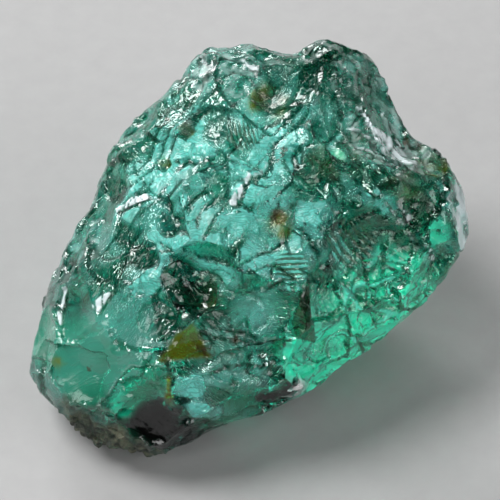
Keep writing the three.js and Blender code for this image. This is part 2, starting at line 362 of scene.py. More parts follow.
# Patches with straight sides on the broad face, each as its corners, anticlockwise
OLIVE_GLASS = [(-2.7, -3.5), (-3.65, -4.0), (-4.5, -5.45), (-1.8, -5.25)]
WEDGE = [(2.9, -1.5), (2.3, -2.5), (1.95, -3.5), (2.2, -4.2), (3.2, -4.6)]
LUMP_FRONT = [
    (-4.6, -7.1),
    (-5.5, -8.0),
    (-5.6, -9.1),
    (-4.5, -9.7),
    (-3.25, -9.4),
    (-2.9, -8.5),
    (-3.75, -7.75),
]
GRAIN_FRONT = [(1.65, -6.55), (0.6, -6.95), (0.45, -7.6), (1.25, -7.75), (2.0, -7.45), (2.35, -7.05)]

# Dark bands across the lower part, each as its two ends and its half width at them
BANDS = [
    ((-2.4, -4.1), (1.6, -4.7), (0.08, 0.14)),
    ((-1.0, -4.95), (2.0, -4.4), (0.12, 0.08)),
    ((-1.8, -3.7), (0.4, -4.2), (0.06, 0.1)),
    ((-2.9, -3.0), (-1.7, -4.6), (0.06, 0.1)),
    ((-1.9, -5.9), (1.4, -5.5), (0.1, 0.06)),
]

# An olive vein under the olive glass, as its two ends and its half width at them
OLIVE_VEIN = ((-3.85, -6.1), (-3.95, -7.4), (0.12, 0.2))

# A curved ledge, drawn as a painted highlight with a painted shade below it, as the points that it passes,
# and each stretch's half widths
LEDGE = [(-3.2, -5.6), (-4.5, -5.6), (-5.7, -5.5), (-6.5, -6.2), (-6.8, -7.0), (-7.8, -7.9), (-8.7, -7.5)]
LEDGE_WIDTHS = (0.05, 0.04)

# Flat breaks on the broad face, each as its middle, half its length and width, its turn in degrees,
# its fall along its length, and its tone from -1, dark, to 1, pale: dark tones are painted shade, pale
# ones a painted reflection
BREAKS = [
    ((-3.75, 5.0), 1.1, 0.5, 0, 0.10, 1.0),
    ((-4.0, 3.35), 1.0, 0.85, 30, -0.08, 0.9),
    ((-4.1, 0.35), 0.9, 0.3, -30, 0.08, 1.0),
    ((-2.75, 0.65), 1.0, 0.4, 45, 0.10, 1.0),
    ((-0.3, 1.3), 0.8, 0.5, 10, 0.10, 1.0),
    ((0.3, 3.2), 0.5, 0.4, 60, 0.12, 1.0),
    ((0.2, 2.5), 0.9, 0.3, 15, -0.08, 0.6),
    ((2.8, 1.7), 0.8, 0.45, -50, 0.12, 1.0),
    ((-1.9, 0.5), 0.6, 0.3, 10, 0.10, 0.9),
    ((1.9, 5.6), 1.0, 0.5, -10, 0.10, 0.7),
    ((-4.6, -1.4), 1.1, 0.5, 60, 0.10, 0.7),
    ((-6.9, 0.9), 1.0, 0.6, 50, 0.10, 0.3),
    ((6.2, 3.4), 1.6, 0.7, -25, 0.10, 0.2),
    ((5.7, 1.1), 1.6, 1.1, -45, -0.10, -0.6),
    ((3.4, -0.4), 1.1, 0.9, 70, 0.08, -0.3),
    ((2.6, 3.6), 0.9, 0.4, -15, 0.10, -0.7),
    ((0.75, -3.0), 1.2, 1.1, 0, 0.05, 0.2),
    ((-8.3, -3.1), 1.7, 1.3, 30, 0.06, -0.1),
    ((-8.3, -6.0), 1.7, 1.3, -20, -0.04, -0.1),
    ((-5.1, -6.6), 1.0, 0.6, 0, 0.05, -0.8),
    ((-2.95, -6.65), 0.8, 0.65, 20, 0.06, 1.0),
    ((-0.35, -5.9), 1.2, 0.35, 8, 0.08, 0.9),
    ((-2.2, -7.9), 0.8, 0.4, -10, 0.08, 0.8),
    ((2.0, -0.85), 0.8, 0.8, 0, 0.03, 0.6),
]

# Painted highlights, drawn as pale frosted streaks that stand a little proud, each as its two ends and its
# half width at them
PAINTED_HIGHLIGHTS = [
    ((0.9, 4.2), (0.1, 3.4), (0.06, 0.12)),
    ((-0.1, 3.5), (-0.75, 2.4), (0.12, 0.22)),
    ((-2.1, 3.0), (-3.4, 2.1), (0.04, 0.07)),
    ((-1.2, 2.35), (-2.35, 0.65), (0.04, 0.07)),
    ((-6.4, 2.0), (-5.2, 2.75), (0.12, 0.26)),
    ((-6.9, -1.9), (-7.5, -2.8), (0.12, 0.22)),
    ((-9.3, -2.0), (-9.35, -3.6), (0.24, 0.05)),
    ((8.5, 0.0), (8.95, -0.35), (0.1, 0.18)),
    ((0.8, -1.9), (1.4, -1.4), (0.06, 0.14)),
    ((-0.4, 9.5), (0.3, 8.9), (0.12, 0.2)),
    ((5.5, 2.95), (6.2, 2.55), (0.05, 0.1)),
    ((7.7, 2.0), (8.0, 1.6), (0.08, 0.18)),
    ((6.6, -0.65), (7.1, -0.9), (0.05, 0.09)),
    ((3.7, 2.1), (4.2, 1.9), (0.06, 0.1)),
    ((3.5, 0.9), (3.7, 0.35), (0.04, 0.07)),
    ((2.6, 8.3), (3.1, 8.0), (0.08, 0.14)),
    ((5.4, 7.0), (5.8, 6.2), (0.08, 0.16)),
    ((5.7, 6.4), (6.9, 5.3), (0.12, 0.28)),
    ((-2.5, 9.6), (-1.6, 8.6), (0.1, 0.16)),
    ((6.4, 2.3), (8.4, -0.1), (0.05, 0.14)),
    ((7.9, 4.5), (5.2, 6.9), (0.2, 0.08)),
    ((8.0, 4.4), (4.9, 6.0), (0.19, 0.08)),
    ((8.1, 4.3), (5.2, 5.0), (0.17, 0.06)),
    ((8.1, 4.6), (6.6, 6.8), (0.18, 0.08)),
]

# Each painted highlight has a painted shade below it and to its right: what brings that place back to the
# highlight
SHADE_SIDE = np.array([-0.12, 0.12])

# Patches of fine ribs: the middle, the reach, the spacing, and the point that the ribs run round
RIBBED = [
    ((2.0, -0.8), 1.1, 0.24, (2.0, 60)),
    ((-0.35, 5.5), 0.95, 0.2, (2.6, 6.4)),
    ((5.0, 0.2), 1.6, 0.34, (9.0, 3.6)),
]

# The marks that the stone stores at each point for its material, each a number from 0 to 1, but for
# rib_phase, which is an angle
MARKS = (
    "frost",
    "plate_and_highlight",
    "milk_and_sheen",
    "deep",
    "painted_glow",
    "leafy",
    "dark",
    "olive",
    "stain",
    "crust",
    "ribs",
    "rib_phase",
    "streaked",
)

# The share of the light that still passes where a mark is at its strongest
CLEARNESS = (
    ("milk_and_sheen", 0.56),
    ("painted_glow", 0.4),
    ("leafy", 0.5),
    ("olive", 0.75),
    ("crust", 0.4),
    ("plate_and_highlight", 0.12),
)

# Each light's name, its place and its width in metres, and its power in watts
LIGHTS = (
    ("key", (-0.18, 0.04, 0.32), 0.18, 1.75),
    ("back", (-0.14, 0.32, 0.14), 0.20, 1.4),
    ("front", (-0.18, -0.24, 0.26), 0.20, 0.4),
    ("fill", (0.24, -0.16, 0.16), 0.26, 0.6),
    ("far_glint", (0.24, -0.02, 0.30), 0.025, 0.08),
)


def strongest(*shares):
    """The highest of several shares at each point."""
    return np.maximum.reduce(shares)


def zones_of(places, outward):
    """How far each kind of surface takes in each point of the stone, from 0 to 1.

    outward is how straight each point faces out of the broad face, from -1 to 1.
    """
    front = smooth_step(0.1, 0.3, outward)
    facing = smooth_step(-0.15, 0.05, outward)
    clear = painted(places, CLEAR)
    olive_glass = patch(places, OLIVE_GLASS, 0.1) * front
    wedge = patch(places, WEDGE, 0.07) * front
    smooth = strongest(near(places, *SMOOTH_END), clear, olive_glass, wedge)
    lumps = strongest(patch(places, LUMP_FRONT, 0.55), patch(places, GRAIN_FRONT, 0.12)) * facing
    return SimpleNamespace(
        front=front,
        facing=facing,
        rim=1 - smooth_step(0.35, 0.85, np.abs(outward)),
        clear=clear,
        olive_glass=olive_glass,
        wedge=wedge,
        lumps=lumps,
        plain=1 - strongest(wedge, olive_glass, lumps),
        smooth=smooth,
        broken=1 - 0.9 * smooth,
        wrinkled=near(places, *WRINKLED_SIDE) * smooth_step(0.15, 0.6, outward),
        crust=painted(places, CRUSTED),
    )


def chips(places, normals, broken):
    """The height, the tone and the steep edges of random chips and scars all over the broken stone."""
    large, large_tone, large_edge = flakes(places, normals, 200, (0.9, 2.2), (0.06, 0.18), broken)
    small, small_tone, small_edge = flakes(places, normals, 500, (0.3, 0.9), (0.08, 0.3), broken**2)
    shells, shell_tone = scars(places, normals, 200, (0.6, 2.5), (0.05, 0.16), broken, 0.012, 0.3)
    height = large + small + shells + MEAN_BITE
    tone = 0.6 * large_tone + 0.6 * small_tone + 0.4 * shell_tone
    return height, tone, strongest(large_edge, 0.55 * small_edge)


def wavering(places, reach, length, seed):
    """Places along the broad face, moved about a little, which makes straight borders ragged."""
    moves = [reach * waves(places, length, seed), reach * waves(places, length, seed + 1)]
    return places[:, :2] + np.stack(moves, axis=1)


def from_middle(along, across):
    """How far out points lie in a random five-sided outline, with 1 on its sides."""
    far = np.full(len(along), -1.0)
    for side in range(5):
        angle = 2 * math.pi * (side + random.uniform(-0.3, 0.3)) / 5
        reach = random.uniform(0.75, 1.05)
        far = np.maximum(far, (along * math.cos(angle) + across * math.sin(angle)) / reach)
    return far


def lay_breaks(ragged, front, height, tone, edge):
    """Cuts the flat breaks into the height of the chips, with their tones. Each leaves few steep edges."""
    for middle, long, wide, turn, fall, own_tone in BREAKS:
        turn = math.radians(turn)
        apart = ragged - middle
        along = apart @ [math.cos(turn), math.sin(turn)]
        across = apart @ [-math.sin(turn), math.cos(turn)]
        inside = (1 - smooth_step(0.94, 1.04, from_middle(along / long, across / wide))) * front
        ramp = fall * along - abs(fall) * long + 0.25 * height
        height += inside * (ramp - height)
        tone += inside * (own_tone - 0.8 * tone)
        edge *= 1 - 0.8 * inside


def swells(places, zones):
    """Two crossing sets of folds that take turns over the stone, and where they show."""
    swayed = places + 0.5 * waves(places, 3.5, 41)[:, None] * [1, -1, 0.5]
    plates = folds(swayed, math.radians(50), 4.5, 1.8, 42)
    leaves = folds(swayed, math.radians(-35), 3.5, 1.4, 43)
    swell = plates + smooth_step(-0.2, 0.2, waves(places, 4, 44)) * (leaves - plates)
    folded = zones.broken * (1 - zones.wrinkled) * smooth_step(-0.5, 0.2, waves(places, 2.5, 45))
    return swell, folded


def wrinkles(places):
    """The large and the fine crests that swirl over the side painted with glowing light."""
    swirled = places + 0.6 * waves(places, 2.6, 3)[:, None] * [1, -0.7, 0]
    return folds(swirled, math.radians(45), 3.0, 1.1, 4), folds(swirled, math.radians(70), 1.8, 0.7, 6)


def highlights_and_shade(places, line_places, front):
    """The painted highlights and the ledge, broken up into silky streaks, and the painted shade at the
    side of each.
    """
    painted_highlight = np.zeros(len(places))
    shade = np.zeros(len(places))
    beside = line_places + SHADE_SIDE
    ledge = [(start, end, LEDGE_WIDTHS) for start, end in zip(LEDGE, LEDGE[1:])]
    for start, end, widths in PAINTED_HIGHLIGHTS + ledge:
        turn = math.atan2(end[1] - start[1], end[0] - start[0])
        silky = smooth_step(0.05, 0.6, folds(places, turn, 1.3, 0.4, 33))
        strength = min(0.35 + 6 * max(widths) ** 1.5, 1) * silky
        painted_highlight = np.maximum(painted_highlight, streak(line_places, start, end, widths) * front * strength)
        shade = np.maximum(shade, streak(beside, start, end, widths) * front)
    return painted_highlight, shade


def fractures(places, normals, zones):
    """The height of the stone's fine fractures in millimetres, with what its material needs of them."""
    height, tone, edge = chips(places, normals, zones.broken)
    ragged = wavering(places, 0.12, 0.9, 31)
    lay_breaks(ragged, zones.front, height, tone, edge)
    swell, folded = swells(places, zones)
    height += FOLD_HEIGHT * folded * (swell - 0.6)
    hollow = painted(np.column_stack([ragged, places[:, 2]]), HOLLOW) * zones.front
    height -= HOLLOW_DEPTH * hollow
    crests, fine_crests = wrinkles(places)
    height += CREST_HEIGHT * zones.wrinkled * (0.5 - crests)
    height += FINE_CREST_HEIGHT * zones.wrinkled * (0.5 - fine_crests)
    height *= 1 - 0.5 * zones.rim
    height += zones.wedge * (-WEDGE_DEPTH - height)
    crumbs = np.abs(waves(places, 0.8, 5)) + 0.6 * np.abs(waves(places, 0.4, 7)) - 1
    height += CRUST_HEIGHT * zones.crust * crumbs
    line_places = wavering(places, 0.1, 1.8, 34)
    painted_highlight, shade = highlights_and_shade(places, line_places, zones.front)
    height += HIGHLIGHT_HEIGHT * painted_highlight
    height -= HIGHLIGHT_HEIGHT * shade
    # Dark lines of painted shade: in the fold valleys, on steep chip edges and beside the painted
    # highlights, with the dark bands
    valley = folded * (1 - smooth_step(0.05, 0.3, swell))
    bands = [streak(line_places, *band) * zones.front for band in BANDS]
    return SimpleNamespace(
        height=height,
        tone=tone,
        edge=edge,
        swell=swell,
        folded=folded,
        hollow=hollow,
        crests=crests,
        painted_highlight=painted_highlight,
        line=strongest(valley, 0.9 * edge, shade, *bands),
    )


def frost_marks(places, normals, zones, shape):
    """How frosted the rim and the shoulders are, with the painted highlights drawn frosted and pale, and
    where the pale flat face at the right edge lies.
    """
    upper_left = smooth_step(-2.5, 3.5, -0.75 * places[:, 0] + 0.66 * places[:, 1])
    frost = strongest(0.6 * zones.rim * upper_left, painted(places, FROSTED))
    frost *= 0.7 + 0.3 * waves(places, 1.1, 11)
    # The painted highlights are drawn as pale frosting
    frost = strongest(frost, 0.7 * shape.painted_highlight)
    plate_and_highlight = 0.95 * near(places, *PALE_PLATE) * smooth_step(0.8, 0.94, normals @ FACE_U)
    plate_and_highlight *= 0.3 + 0.7 * smooth_step(-1.5, 1.2, places[:, 2] + 0.8 * waves(places, 1.8, 51))
    plate_and_highlight *= 0.7 + 0.3 * folds(places, math.radians(80), 1.6, 0.5, 52)
    return {
        "frost": np.clip(frost + 0.15 * shape.tone * frost, 0, 1),
        # The painted highlights take the pale face's colour too
        "plate_and_highlight": strongest(plate_and_highlight, shape.painted_highlight**2),
    }


def green_marks(places, zones, shape):
    """The stone's greens: its milkiness with painted sheen, deep green with painted shade, a painted
    glowing green, and leafy green.
    """
    milk_and_sheen_zones = painted(places, MILK_AND_SHEEN)
    painted_glow = painted(places, PAINTED_GLOW)
    leafy = painted(places, LEAFY) * zones.facing
    # A painted highlight along the crests of the wrinkles, and a painted shade beside them
    crest_highlight = zones.wrinkled * (1 - smooth_step(0.05, 0.2, shape.crests))
    crest_side = smooth_step(0.1, 0.25, shape.crests) * (1 - smooth_step(0.4, 0.6, shape.crests))
    crest_shade = 0.75 * zones.wrinkled * crest_side
    # Painted sheen: pale cyan on the tops of the fold swells and on pale breaks
    on_swells = milk_and_sheen_zones * shape.folded * smooth_step(0.3, 0.6, shape.swell) * (0.9 + 0.3 * shape.tone)
    milk_and_sheen = milk_and_sheen_zones * (0.5 + 0.8 * shape.tone) + 0.25 * waves(places, 2.4, 12)
    milk_and_sheen = strongest(milk_and_sheen, shape.tone - 0.1, on_swells) * (1 - 0.5 * zones.rim)
    milk_and_sheen *= (1 - zones.clear) * (1 - 0.9 * painted_glow) * (1 - 0.8 * leafy)
    milk_and_sheen *= (1 - 0.85 * shape.line) * (1 - 0.9 * shape.hollow) * zones.plain
    milk_and_sheen = strongest(milk_and_sheen, 0.5 * crest_highlight * zones.front)
    deep = painted(places, DEEP) * (0.8 - 0.5 * shape.tone) + 0.25 * np.maximum(-shape.tone, 0)
    # Painted shade: fold valleys, chip edges, hollows and the sides of the crests are painted deep green
    deep = strongest(deep, 0.95 * shape.line, shape.hollow, 0.9 * crest_shade, zones.wedge)
    # The painted glowing light, weaker on chip edges, crest sides and the dark lines of painted shade
    flicker = 0.75 + 0.25 * waves(places, 1.8, 46) + 0.3 * shape.tone - 0.5 * shape.edge
    painted_glow *= np.clip(flicker, 0, 1) * (1 - zones.wedge)
    painted_glow *= (1 - 0.8 * crest_shade) * (1 - 0.8 * shape.line)
    return {
        "milk_and_sheen": np.clip(milk_and_sheen, 0, 1),
        "deep": np.clip(deep, 0, 1),
        "painted_glow": painted_glow,
        "leafy": np.clip(leafy * (0.8 - 0.3 * shape.tone), 0, 1) * zones.plain,
    }


def dark_marks(places, zones, shape):
    """Where the stone is dark, over the schist and the wedge, and with painted shade in dark lines and
    hollows; and where it is olive, stained by iron or crusted with schist.
    """
    # Painted shade: the dark lines and the hollows are painted near black
    dark = strongest(zones.lumps, 0.45 * zones.wedge, 0.6 * shape.line * zones.broken, 0.4 * shape.hollow)
    olive = painted(places, OLIVE) * (1 + 0.6 * waves(places, 0.9, 13))
    olive = strongest(olive, streak(places, *OLIVE_VEIN), zones.olive_glass, 0.3 * zones.wedge)
    stain = painted(places, STAINED) * (1 + 0.6 * waves(places, 0.6, 14))
    return {
        "dark": np.clip(dark, 0, 1),
        "olive": np.clip(olive, 0, 1) * zones.front,
        "stain": np.clip(stain, 0, 1) * zones.front,
        "crust": zones.crust,
    }


def line_marks(places, zones, shape):
    """Where fine ribs run, how far each point is along their waves, and how much fine streaks show."""
    ribs = np.zeros(len(places))
    phase = np.zeros(len(places))
    for middle, reach, spacing, centre in RIBBED:
        here = near(places, middle, reach) * zones.front
        stronger = here > ribs
        ribs[stronger] = here[stronger]
        from_centre = np.hypot(places[:, 0] - centre[0], places[:, 1] - centre[1])
        phase[stronger] = 2 * math.pi * from_centre[stronger] / spacing
    streaked = (1 - 0.8 * zones.smooth) * (0.75 - 0.35 * shape.tone) * (1 - 0.85 * zones.rim)
    streaked *= 1 - 0.5 * shape.folded * smooth_step(0.5, 0.9, shape.swell)
    streaked *= 1 - 0.55 * painted(places, DEEP)
    return {"ribs": ribs, "rib_phase": phase, "streaked": np.clip(streaked, 0, 1)}


def relief(piece):
    """Gives the emerald its fine fractures, and stores the marks that its material reads."""
    mesh = piece.data
    points = points_of(mesh)
    normals = normals_of(mesh)
    places = face_frame(points)
    zones = zones_of(places, normals @ FACE_W)
    shape = fractures(places, normals, zones)
    foot = smooth_step(0.02, 0.25, points[:, 2] / MM)
    set_points(mesh, points + normals * (shape.height * foot * MM)[:, None])
    marks = {
        **frost_marks(places, normals, zones, shape),
        **green_marks(places, zones, shape),
        **dark_marks(places, zones, shape),
        **line_marks(places, zones, shape),
    }
    for name, values in marks.items():
        made = mesh.attributes.new(name, "FLOAT", "POINT")
        made.data.foreach_set("value", values.astype(np.float32))


def crack_points(middle, normal, radius, seed):
    """The points of a thin wavy crack full of air, in rings round its middle, one side after the other."""
    source = np.random.default_rng(seed)
    first = np.cross(normal, source.normal(size=3))
    first /= np.linalg.norm(first)
    second = np.cross(normal, first)
    angle = np.arange(CRACK_SIDES) * 2 * math.pi / CRACK_SIDES
    lobes = 0.2 * np.sin(2 * angle + source.uniform(0, 6))
    small_lobes = 0.12 * np.sin(5 * angle + source.uniform(0, 6))
    reach = radius * (0.8 + lobes + small_lobes)
    narrow = source.uniform(0.45, 1)
    points = []
    for side in (1, -1):
        for ring in range(CRACK_RINGS):
            share = (ring + 0.15) / (CRACK_RINGS - 0.85 if side > 0 else CRACK_RINGS)
            flat = np.outer(np.cos(angle) * reach * share, first)
            flat += np.outer(np.sin(angle) * reach * share * narrow, second)
            thick = CRACK_THICKNESS * (1 - share**2) * side
            points.append(middle + flat + thick * normal)
    points = np.concatenate(points)
    return points + np.outer(0.05 * radius * waves(points, 1.6 * radius, seed + 1), normal)


def crack_faces(offset):
    """The faces between the rings of a crack whose first point has a given number."""
    joins = []
    for ring in range(CRACK_RINGS - 1):
        joins.append((ring, ring + 1, -1))
        joins.append((CRACK_RINGS + ring, CRACK_RINGS + ring + 1, 1))
    joins.append((CRACK_RINGS - 1, 2 * CRACK_RINGS - 1, -1))
    faces = []
    for low, high, way in joins:
        low = offset + low * CRACK_SIDES
        high = offset + high * CRACK_SIDES
        for i in range(CRACK_SIDES):
            j = (i + 1) % CRACK_SIDES
            faces.append((low + i, low + j, high + j, high + i)[::way])
    other = offset + CRACK_RINGS * CRACK_SIDES
    faces.append(tuple(range(offset, offset + CRACK_SIDES)))
    faces.append(tuple(range(other, other + CRACK_SIDES))[::-1])
    return faces


def from_face_frame(places):
    """Points in metres from places in millimetres along the broad face, up it and out of it."""
    return np.array(FACE_MIDDLE) + MM * (places @ np.array([FACE_U, FACE_V, FACE_W]))


def tree_of(mesh):
    """A mesh's faces, to be searched by place."""
    faces = [tuple(face.vertices) for face in mesh.polygons]
    return BVHTree.FromPolygons(points_of(mesh).tolist(), faces)


def is_inside(tree, spot):
    """Whether a point lies in the stone, by how many faces are straight above it."""
    crossed = 0
    hit = tree.ray_cast(Vector(spot), Vector((0, 0, 1)))[0]
    while hit is not None:
        crossed += 1
        hit = tree.ray_cast(hit + Vector((0, 0, 0.001 * MM)), Vector((0, 0, 1)))[0]
    return crossed % 2 == 1


def is_clear_of(tree, spots):
    """Whether a crack with these points lies wholly in the stone, and not too near its surface."""
    if not all(is_inside(tree, spot) for spot in spots[::CRACK_SIDES]):
        return False
    for spot in spots:
        nearest, out, _, apart = tree.find_nearest(Vector(spot))
        if apart < CRACK_CLEARANCE or (Vector(spot) - nearest).dot(out) > 0:
            return False
    return True


def cracks(piece):
    """Thin cracks inside the stone, which mirror the light in some directions."""
    tree = tree_of(piece.data)
    points = []
    faces = []
    for seed in CRACK_SEEDS:
        if len(points) == CRACKS:
            break
        source = np.random.default_rng(seed)
        middle = source.uniform(-1, 1, 3) * CRACK_SPREAD
        normal = source.normal(size=3) * [1, 1, 0.8]
        normal /= np.linalg.norm(normal)
        spots = from_face_frame(crack_points(middle, normal, source.uniform(0.5, 2.2), seed))
        if is_clear_of(tree, spots):
            faces += crack_faces(len(points) * len(spots))
            points.append(spots)
    return np.concatenate(points), faces


def join_faces(piece, points, faces):
    """Adds more faces to an object's mesh, which keeps its shading."""
    extra = bpy.data.meshes.new("cracks")
    extra.from_pydata(points.tolist(), [], faces)
    extra.validate()
    for face in extra.polygons:
        face.use_smooth = True
    other = bpy.data.objects.new("cracks", extra)
    bpy.context.scene.collection.objects.link(other)
    both = [piece, other]
    with bpy.context.temp_override(
        active_object=piece, object=piece, selected_objects=both, selected_editable_objects=both
    ):
        bpy.ops.object.join()


def decimate(piece, share):
    """Leaves out points where the surface is flat."""
    modifier = piece.modifiers.new("fewer", "DECIMATE")
    modifier.ratio = share
    apply_modifiers(piece)


def emerald():
    """The broken stone, with the cracks inside it."""
    piece = copy_of("crystal", "rough_crystal")
    remesh(piece, STONE_MESH)
    relief(piece)
    decimate(piece, STONE_SHARE)
    piece.data.set_sharp_from_angle(angle=SHARP_ANGLE)
    join_faces(piece, *cracks(piece))
    return piece


def schist_lump(node, name, wall):
    """A lump of schist that fills its pocket in the stone, with its scaly grain."""
    piece = copy_of(node, name)
    remesh(piece, SCHIST_MESH)
    mesh = piece.data
    points = points_of(mesh)
    normals = normals_of(mesh)
    grown = np.zeros(len(points))
    for index, (point, normal) in enumerate(zip(points, normals)):
        apart = wall.ray_cast(Vector(point), Vector(normal), POCKET_REACH * MM)[3]
        grown[index] = min(apart / MM, MOST_GROWTH) + WALL_BITE if apart else 0
    places = face_frame(points)
    grown += 0.05 * np.abs(waves(places, 0.5, 21)) - 0.03 * np.abs(waves(places, 0.25, 22))
    foot = smooth_step(0.02, 0.2, points[:, 2] / MM)
    moved = points + normals * (grown * foot * MM)[:, None]
    moved[:, 2] = np.maximum(moved[:, 2], 0)
    set_points(mesh, moved)
    return piece


def new_material(name):
    """A material with its nodes and its shader."""
    material = bpy.data.materials.new(name)
    material.use_nodes = True
    return material, material.node_tree, material.node_tree.nodes["Principled BSDF"]


def node_of(tree, kind, settings=None, **inputs):
    """A new node with some of its settings and unlinked inputs filled in."""
    made = tree.nodes.new("ShaderNode" + kind)
    for name, value in (settings or {}).items():
        setattr(made, name, value)
    for name, value in inputs.items():
        made.inputs[name].default_value = value
    return made


def fill(tree, socket, value):
    """Fills a socket with a plain value, or links it to another socket."""
    if isinstance(value, (float, tuple)):
        socket.default_value = value
    else:
        tree.links.new(value, socket)


def ramp_of(tree, source, low, high, from_value, to_value):
    """A number that goes from one value to another as the source goes from low to high."""
    made = node_of(tree, "MapRange", {"interpolation_type": "SMOOTHSTEP"})
    made.inputs["From Min"].default_value = low
    made.inputs["From Max"].default_value = high
    made.inputs["To Min"].default_value = from_value
    made.inputs["To Max"].default_value = to_value
    tree.links.new(source, made.inputs["Value"])
    return made.outputs["Result"]


def mixed_colour(tree, share, first, second):
    """One colour where the share is 0, the other where it is 1. Each is a colour or a socket."""
    made = node_of(tree, "Mix", {"data_type": "RGBA"})
    tree.links.new(share, made.inputs[0])
    fill(tree, made.inputs[6], first)
    fill(tree, made.inputs[7], second)
    return made.outputs[2]


def combined(tree, operation, first, *others):
    """A number worked out from one number, or from several in turn. Each is a value or a socket."""
    for other in others or (0.0,):
        made = node_of(tree, "Math", {"operation": operation})
        fill(tree, made.inputs[0], first)
        fill(tree, made.inputs[1], other)
        first = made.outputs[0]
    return first


def product(tree, *values):
    """Several numbers multiplied together. Each is a value or a socket."""
    return combined(tree, "MULTIPLY", *values)


def vectors_combined(tree, operation, first, second):
    """A node that works out a vector or a number from two vectors. Each is a tuple or a socket."""
    made = node_of(tree, "VectorMath", {"operation": operation})
    fill(tree, made.inputs[0], first)
    fill(tree, made.inputs[1], second)
    return made


def noise_of(tree, scale, detail, roughness=0.5, distortion=0.0):
    """An even noise in the object's own space. scale is in waves for each metre."""
    made = node_of(tree, "TexNoise", None, Scale=scale, Detail=detail, Roughness=roughness)
    made.inputs["Distortion"].default_value = distortion
    tree.links.new(tree.nodes.new("ShaderNodeTexCoord").outputs["Object"], made.inputs["Vector"])
    return made.outputs["Fac"]


def wandering_place(tree, bend_scale, bend):
    """The place in the object's space, moved by up to half a bend every bend_scale."""
    place = tree.nodes.new("ShaderNodeTexCoord").outputs["Object"]
    wander = node_of(tree, "TexNoise", None, Scale=1 / bend_scale, Detail=1)
    tree.links.new(place, wander.inputs["Vector"])
    away = vectors_combined(tree, "SUBTRACT", wander.outputs["Color"], (0.5, 0.5, 0.5)).outputs[0]
    away = vectors_combined(tree, "MULTIPLY", away, (bend, bend, bend)).outputs[0]
    return vectors_combined(tree, "ADD", place, away).outputs[0]


def streaks_of(tree, turn, bend_scale, bend, across, along):
    """Fine sharp ridges that flow over the surface, from 0 to 1.

    turn is their direction on the broad face, bend how far they wander over a bend_scale, and across and
    along are the sizes of one ridge.
    """
    place = wandering_place(tree, bend_scale, bend)
    way = math.cos(turn) * FACE_U + math.sin(turn) * FACE_V
    aside = -math.sin(turn) * FACE_U + math.cos(turn) * FACE_V
    stretched = tree.nodes.new("ShaderNodeCombineXYZ")
    for socket, axis, size in zip(stretched.inputs, (way, aside, FACE_W), (along, across, across)):
        share = vectors_combined(tree, "DOT_PRODUCT", place, tuple(axis / size))
        tree.links.new(share.outputs["Value"], socket)
    ridges = node_of(tree, "TexNoise", None, Scale=1.0, Detail=2.0, Roughness=0.45)
    tree.links.new(stretched.outputs[0], ridges.inputs["Vector"])
    from_ridge = combined(tree, "ABSOLUTE", combined(tree, "SUBTRACT", ridges.outputs["Fac"], 0.5))
    return ramp_of(tree, from_ridge, 0.0, 0.11, 1.0, 0.0)


def emerald_masks(tree):
    """The marks stored on the stone, and what the material's parts share that is worked out from them."""
    mask = {}
    for name in MARKS:
        mask[name] = node_of(tree, "Attribute", {"attribute_name": name}).outputs["Fac"]
    speckle = ramp_of(tree, noise_of(tree, 2600, 3), 0.35, 0.6, 0.45, 1.0)
    mask["frosty"] = product(tree, mask["frost"], speckle)
    mask["crumb"] = ramp_of(tree, noise_of(tree, 1300, 4, 0.7), 0.4, 0.66, 0.0, 1.0)
    mask["rib_wave"] = combined(tree, "SINE", mask["rib_phase"])
    finest = streaks_of(tree, math.radians(20), 2 * MM, 3 * MM, 0.17 * MM, 0.7 * MM)
    # Fine ridges in the milky zones: a bump, and painted shade in the colour
    mask["thin"] = product(tree, finest, mask["milk_and_sheen"])
    return mask


def emerald_roughness(tree, mask):
    """Glassy breaks, with silky frosting, a crumbly crust, and a dull pale face with dull painted
    highlights.
    """
    silky = ramp_of(tree, mask["frosty"], 0.05, 0.9, 0.03, 0.5)
    crusty = product(tree, mask["crust"], 0.6)
    return combined(tree, "MAXIMUM", silky, crusty, product(tree, mask["plate_and_highlight"], 0.45))


def emerald_clearness(tree, mask):
    """How much light passes into the stone. Each mark holds back a part of it."""
    clear = ramp_of(tree, mask["frosty"], 0.1, 1.0, 1.0, 0.55)
    for name, least in CLEARNESS:
        clear = product(tree, clear, ramp_of(tree, mask[name], 0.0, 1.0, 1.0, least))
    return clear


def iron_stain(tree, mask):
    """Small brown spots all over, and denser ones where the stone is stained."""
    noise = noise_of(tree, 900, 4, 0.6)
    scattered = ramp_of(tree, noise, 0.66, 0.74, 0.0, 0.85)
    dense = ramp_of(tree, noise, 0.42, 0.52, 0.0, 1.0)
    return combined(tree, "MAXIMUM", scattered, product(tree, mask["stain"], dense))


